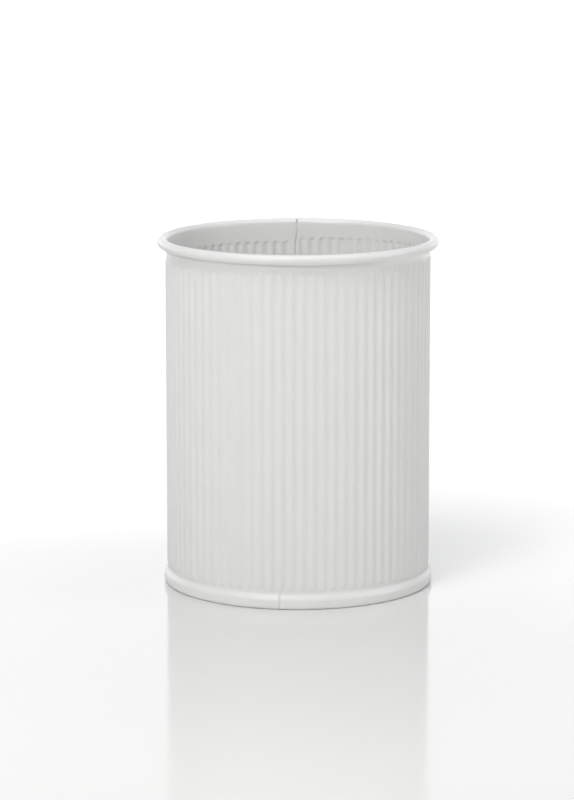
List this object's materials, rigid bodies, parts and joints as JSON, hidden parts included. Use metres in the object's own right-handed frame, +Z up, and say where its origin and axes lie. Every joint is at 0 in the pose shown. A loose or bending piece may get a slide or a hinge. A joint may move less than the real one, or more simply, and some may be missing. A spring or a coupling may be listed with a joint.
{
  "type": "umbrella stand",
  "caption": "Round fluted steel drum, open at the top, with an outward-rolled rim, a raised drip-tight base and a crimped foot hoop.",
  "frame": {"origin": "on the floor, at the middle of the base", "axes": "+Z up along the drum's axis; -Y is the front and the side seam is at the back, near +Y"},
  "size_m": [0.265, 0.265, 0.33],
  "materials": {
    "powder_coated_steel": "white satin powder coat on sheet steel",
    "sealing_compound": "matt, pale, flexible sealing compound"
  },
  "bodies": {
    "root": {"shell": "powder_coated_steel", "base_pan": "powder_coated_steel", "base_hoop": "powder_coated_steel", "base_seal": "sealing_compound"}
  },
  "joints": []
}
